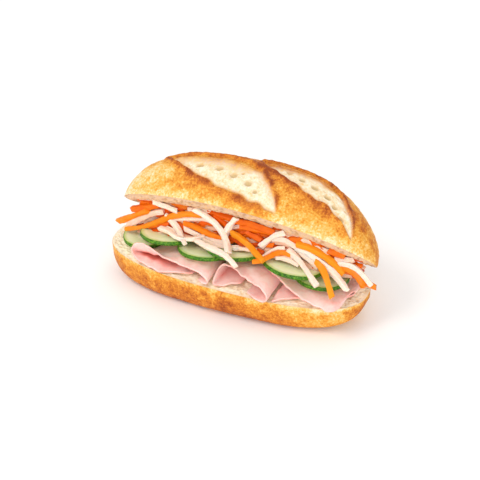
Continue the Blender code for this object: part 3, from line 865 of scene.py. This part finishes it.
def shred_bar():
    """A straight unit strip along X with softened long edges and blunt ends, as a mesh."""
    bm = bmesh.new()
    bmesh.ops.create_cube(bm, size=1)
    long_edges = [e for e in bm.edges if abs(e.verts[0].co.x - e.verts[1].co.x) > 0.5]
    bmesh.ops.bevel(
        bm, geom=long_edges, offset=0.17, offset_type="OFFSET", affect="EDGES",
        segments=2, profile=0.5, material=-1,
    )
    long_edges = [e for e in bm.edges if abs(e.verts[0].co.x - e.verts[1].co.x) > 0.5]
    bmesh.ops.subdivide_edges(bm, edges=long_edges, cuts=SHRED_STEPS - 1, use_grid_fill=True)
    ends = [f for f in bm.faces if len(f.verts) > 4]
    bmesh.ops.inset_individual(bm, faces=ends, thickness=0.14, depth=0.0)
    bmesh.ops.recalc_face_normals(bm, faces=bm.faces)
    return mesh_from(bm, "strip")


def bend_bar(unit, line, outward, width, thick, draw):
    """The unit strip bent along a line, with a slow twist and slightly ragged ends."""
    share = unit[:, 0] + 0.5
    where = share * (len(line) - 1)
    low = np.clip(where.astype(int), 0, len(line) - 2)
    t = (where - low)[:, None]
    middle = line[low] * (1 - t) + line[low + 1] * t
    tangents = unit_rows(np.gradient(line, axis=0))
    tangent = tangents[low] * (1 - t) + tangents[low + 1] * t
    up = outward[low] * (1 - t) + outward[low + 1] * t
    side = unit_rows(np.cross(tangent, up))
    up = np.cross(side, tangent)
    twist = draw.uniform(-0.5, 0.5) + draw.uniform(-0.6, 0.6) * share
    a = unit[:, 1] * np.cos(twist) - unit[:, 2] * np.sin(twist)
    b = unit[:, 1] * np.sin(twist) + unit[:, 2] * np.cos(twist)
    swell = 1 + 0.10 * np.sin(share * draw.uniform(3, 8) + draw.uniform(0, TAU))
    swell *= 1 - 0.14 * smooth((np.abs(share - 0.5) - 0.46) / 0.04)
    slant = draw.uniform(-0.6, 0.6) * (np.abs(share - 0.5) > 0.499)
    placed = middle + side * (a * width * swell)[:, None] + up * (b * thick * swell)[:, None]
    placed += tangent * (slant * unit[:, 1] * width)[:, None]
    wander = [ripple(placed, 6, int(draw.integers(1000)), 6) for _ in range(3)]
    return placed + 0.16 * np.stack(wander, axis=1)


def make_shreds(name, shreds, material, slot_nodes, seed):
    """All shreds of one kind as one mesh: listed ones, loose ones behind them, and those at the back."""
    draw = np.random.default_rng(seed)
    bar = shred_bar()
    unit = coordinates(bar)
    corner = corners(bar)
    around = np.arctan2(unit[:, 2], unit[:, 1])
    bm = bmesh.new()
    points, tones, strands = [], [], []
    for width, line, outward, tone in shreds:
        bm.from_mesh(bar)
        length = np.linalg.norm(np.diff(line, axis=0), axis=1).sum()
        points.append(bend_bar(unit, line, outward, width, width * draw.uniform(0.72, 0.9), draw))
        tones.append(np.full(len(unit), tone))
        strand = np.stack([(unit[:, 0] + 0.5) * length + 97 * len(points), around * width / 2], axis=1)
        strands.append(strand[corner])
    mesh = mesh_from(bm, name)
    bpy.data.meshes.remove(bar)
    place_points(mesh, np.vstack(points))
    store(mesh, "tone", np.concatenate(tones))
    store_uv(mesh, "strand", np.vstack(strands))
    piece = piece_from(name, mesh, material, slot_nodes)
    mesh.set_sharp_from_angle(angle=math.radians(25))
    return piece


def listed_shreds(table, draw):
    for width, lift, *route in table:
        line, outward = lifted_route(route, lift)
        # painted light and shade: the further a shred lifts off the heap, the lighter its tone
        yield width, line, outward, 0.10 + 0.20 * lift + draw.uniform(-0.1, 0.1)


def packed_shreds(count, draw):
    """Loose shreds behind the listed ones, mostly along the roll."""
    for _ in range(count):
        x = draw.uniform(-82, 92)
        climb = draw.uniform(0.36, 0.97)
        length = draw.uniform(22, 46)
        lean = draw.normal(0, 0.4)
        reach = np.array([math.cos(lean) * length, math.sin(lean) * length / 52])
        start = np.array([x, climb]) - reach / 2
        end = start + reach
        bow = np.array([0, draw.normal(0, 0.05)])
        route = [start, (start + end) / 2 + bow, end]
        route = [(float(np.clip(a, -92, 103)), float(np.clip(b, 0.34, 1.0))) for a, b in route]
        line, outward = lifted_route(route, draw.uniform(-4.5, -1.0))
        # painted shade: the packed shreds get darker tones
        yield draw.uniform(3.2, 4.4), line, outward, draw.uniform(-0.4, 0.3)


def back_shreds(count, draw):
    """Shreds that show in the narrow gap along the back."""
    for _ in range(count):
        x = draw.uniform(-88, 88)
        half = draw.uniform(10, 20)
        ends = (1 - abs(x / 108) ** 3) ** (1 / 2.2)
        y = 34 * ends - draw.uniform(0, 8)
        z = 31.5 + draw.uniform(0, 2.5)
        sway = draw.normal(0, 1.5)
        route = [(x - half, y - 2, z), (x, y + sway, z + 0.5), (x + half, y - 2, z)]
        line = spline(route, SHRED_STEPS + 1)
        outward = np.tile([0.0, 0.6, 0.8], (SHRED_STEPS + 1, 1))
        # painted shade: the shreds in the back gap get darker tones
        yield draw.uniform(3.0, 3.8), line, outward, draw.uniform(-0.4, 0.3)


def make_core():
    """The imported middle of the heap: its frame node drawn in, most of all at the front."""
    bm = merged_copy("pickle_heap")
    bmesh.ops.smooth_vert(bm, verts=bm.verts, factor=0.5, use_axis_x=True, use_axis_y=True, use_axis_z=True)
    mesh = mesh_from(bm, "core")
    points = coordinates(mesh) / MM
    points[:, 0] *= 0.93
    points[:, 1] = np.where(points[:, 1] < 0, points[:, 1] * 0.25 + 2.5, points[:, 1] * 0.93)
    middle = np.array([0, 0, 42.0])
    points[:, 2] = middle[2] + (points[:, 2] - middle[2]) * 0.94
    place_points(mesh, points)
    return piece_from("heap_core", mesh, core_material(), None)


# ---------------------------------------------------------------- settings


class BreadLook(bpy.types.PropertyGroup):
    """Colours of the roll."""

    crust_light: bpy.props.StringProperty(
        name="Light crust", description="Palest baked crust", default="#e9a944")
    crust_mid: bpy.props.StringProperty(
        name="Golden crust", description="Most of the crust", default="#d98829")
    crust_dark: bpy.props.StringProperty(
        name="Dark crust", description="Ridges beside the slashes", default="#be671e")
    bloom: bpy.props.StringProperty(
        name="Opened slash", description="Pale crust in the slashes", default="#f2dcb8")
    crumb: bpy.props.StringProperty(
        name="Crumb", description="Inside of the roll", default="#fff0d2")


class FillingLook(bpy.types.PropertyGroup):
    """Colours and amounts of the filling."""

    ham: bpy.props.StringProperty(
        name="Ham", description="Colour of the ham", default="#ffd2c9")
    ham_deep: bpy.props.StringProperty(
        name="Deep ham", description="Redder parts of the ham", default="#febbb1")
    cucumber_flesh: bpy.props.StringProperty(
        name="Flesh", description="Cucumber flesh", default="#e3ebbd")
    cucumber_skin: bpy.props.StringProperty(
        name="Skin", description="Cucumber skin", default="#3b7409")
    carrot: bpy.props.StringProperty(
        name="Carrot", description="Colour of the carrot", default="#e66c06")
    daikon: bpy.props.StringProperty(
        name="Daikon", description="Colour of the daikon", default="#efd2be")
    packed_carrot: bpy.props.IntProperty(
        name="Packed carrot", description="Loose carrot shreds behind the top ones",
        default=60, min=0, max=120)
    packed_daikon: bpy.props.IntProperty(
        name="Packed daikon", description="Loose daikon shreds behind the top ones",
        default=55, min=0, max=120)


class StageLook(bpy.types.PropertyGroup):
    """Floor, light and camera."""

    floor_colour: bpy.props.StringProperty(
        name="Floor", description="Colour of the floor", default="#ffffff")
    azimuth: bpy.props.FloatProperty(
        name="Azimuth", description="Camera's turn round the sandwich",
        default=math.radians(23.5), subtype="ANGLE")
    elevation: bpy.props.FloatProperty(
        name="Elevation", description="Camera's height as an angle",
        default=math.radians(33), subtype="ANGLE")
    distance: bpy.props.FloatProperty(
        name="Distance", description="Camera's distance", default=1.1, unit="LENGTH")


# ---------------------------------------------------------------- operators


class SANDWICH_OT_bread(bpy.types.Operator):
    """Bakes both halves of the roll"""

    bl_idname = "sandwich.bread"
    bl_label = "Roll"

    def execute(self, context):
        look = context.scene.bread_look
        make_lid(look)
        make_base(look)
        return {"FINISHED"}


class SANDWICH_OT_ham(bpy.types.Operator):
    """Lays in the folded ham"""

    bl_idname = "sandwich.ham"
    bl_label = "Ham"

    def execute(self, context):
        material = ham_material(context.scene.filling_look)
        for number in (1, 2, 3):
            make_ham(number, material)
        return {"FINISHED"}


class SANDWICH_OT_cucumber(bpy.types.Operator):
    """Lays in the cucumber slices"""

    bl_idname = "sandwich.cucumber"
    bl_label = "Cucumber"

    def execute(self, context):
        material = cucumber_material(context.scene.filling_look)
        for number in range(1, 7):
            make_cucumber(number, material)
        return {"FINISHED"}


class SANDWICH_OT_pickles(bpy.types.Operator):
    """Heaps up the carrot and daikon shreds"""

    bl_idname = "sandwich.pickles"
    bl_label = "Pickled shreds"

    def execute(self, context):
        look = context.scene.filling_look
        draw = np.random.default_rng(5)
        carrot = [*listed_shreds(CARROT_SHREDS, draw), *packed_shreds(look.packed_carrot, draw),
                  *back_shreds(8, draw)]
        daikon = [*listed_shreds(DAIKON_SHREDS, draw), *packed_shreds(look.packed_daikon, draw),
                  *back_shreds(10, draw)]
        orange = shred_material("carrot_pickled", "#f2951d", look.carrot, "#d95404", 0.05)
        white = shred_material("daikon_pickled", "#f8e4d4", look.daikon, "#e8b99c", 0.45)
        make_shreds("carrot_shreds", carrot, orange, ["pickle_heap"], 6)
        make_shreds("daikon_shreds", daikon, white, None, 7)
        make_core()
        return {"FINISHED"}


class SANDWICH_OT_stage(bpy.types.Operator):
    """Sets out the floor, the lights and the camera"""

    bl_idname = "sandwich.stage"
    bl_label = "Stage"

    def execute(self, context):
        look = context.scene.stage_look
        make_stage(context.scene, look)
        return {"FINISHED"}


def soft_light(name, place, size, power, colour):
    light = bpy.data.lights.new(name, "AREA")
    light.shape = "DISK"
    light.size = size
    light.energy = power
    light.color = linear(colour)[:3]
    lamp = bpy.data.objects.new(name, light)
    lamp.location = place
    lamp.rotation_euler = (Vector(LIT_POINT) - Vector(place)).to_track_quat("-Z", "Y").to_euler()
    bpy.context.scene.collection.objects.link(lamp)


def make_stage(scene, look):
    bm = bmesh.new()
    bmesh.ops.create_grid(bm, x_segments=1, y_segments=1, size=FLOOR_HALF_SIZE)
    mesh = mesh_from(bm, "floor")
    material, tree, shader, place = start_material("matt_painted_table")
    shade = noise(tree, place, 300, 2)
    colour = ramp(tree, shade, (0.3, look.floor_colour), (0.7, "#fbfaf8"))
    tree.links.new(colour, shader.inputs["Base Color"])
    shader.inputs["Roughness"].default_value = 0.8
    mesh.materials.append(material)
    floor = bpy.data.objects.new("floor", mesh)
    scene.collection.objects.link(floor)

    world = bpy.data.worlds.new("studio")
    world.use_nodes = True
    background = world.node_tree.nodes["Background"]
    background.inputs["Color"].default_value = linear("#ffffff")
    background.inputs["Strength"].default_value = ROOM_LIGHT
    scene.world = world
    for name, (place_at, size, power, tint) in SOFT_LIGHTS.items():
        soft_light(name, place_at, size, power, tint)

    camera = bpy.data.objects.new("camera", bpy.data.cameras.new("camera"))
    scene.collection.objects.link(camera)
    scene.camera = camera
    back = Vector((
        math.sin(look.azimuth) * math.cos(look.elevation),
        -math.cos(look.azimuth) * math.cos(look.elevation),
        math.sin(look.elevation),
    ))
    right = Vector((math.cos(look.azimuth), math.sin(look.azimuth), 0))
    upward = back.cross(right)
    middle = Vector(LIT_POINT)
    camera.location = middle + back * look.distance
    aim = middle + upward * AIM_UP - right * AIM_LEFT
    camera.rotation_euler = (camera.location - aim).to_track_quat("Z", "Y").to_euler()
    camera.data.sensor_width = 36
    camera.data.lens = LENS
    scene.view_settings.view_transform = "Standard"


class SANDWICH_PT_panel(bpy.types.Panel):
    """Lists the pieces in the order they are made"""

    bl_label = "Banh mi sandwich"
    bl_idname = "SANDWICH_PT_panel"
    bl_space_type = "VIEW_3D"
    bl_region_type = "UI"
    bl_category = "Sandwich"

    def draw(self, context):
        for group in (context.scene.bread_look, context.scene.filling_look, context.scene.stage_look):
            box = self.layout.box()
            for name in group.__annotations__:
                box.prop(group, name)
        for operator in OPERATORS:
            self.layout.operator(operator.bl_idname)


LOOKS = {"bread_look": BreadLook, "filling_look": FillingLook, "stage_look": StageLook}
OPERATORS = (
    SANDWICH_OT_stage, SANDWICH_OT_bread, SANDWICH_OT_ham, SANDWICH_OT_cucumber, SANDWICH_OT_pickles,
)


def register():
    for kind in (*LOOKS.values(), *OPERATORS, SANDWICH_PT_panel):
        bpy.utils.register_class(kind)
    for name, kind in LOOKS.items():
        setattr(bpy.types.Scene, name, bpy.props.PointerProperty(type=kind))


def unregister():
    for name in LOOKS:
        delattr(bpy.types.Scene, name)
    for kind in reversed((*LOOKS.values(), *OPERATORS, SANDWICH_PT_panel)):
        bpy.utils.unregister_class(kind)


def main():
    register()
    bpy.ops.sandwich.stage()
    bpy.ops.sandwich.bread()
    bpy.ops.sandwich.ham()
    bpy.ops.sandwich.cucumber()
    bpy.ops.sandwich.pickles()


if __name__ == "__main__":
    main()
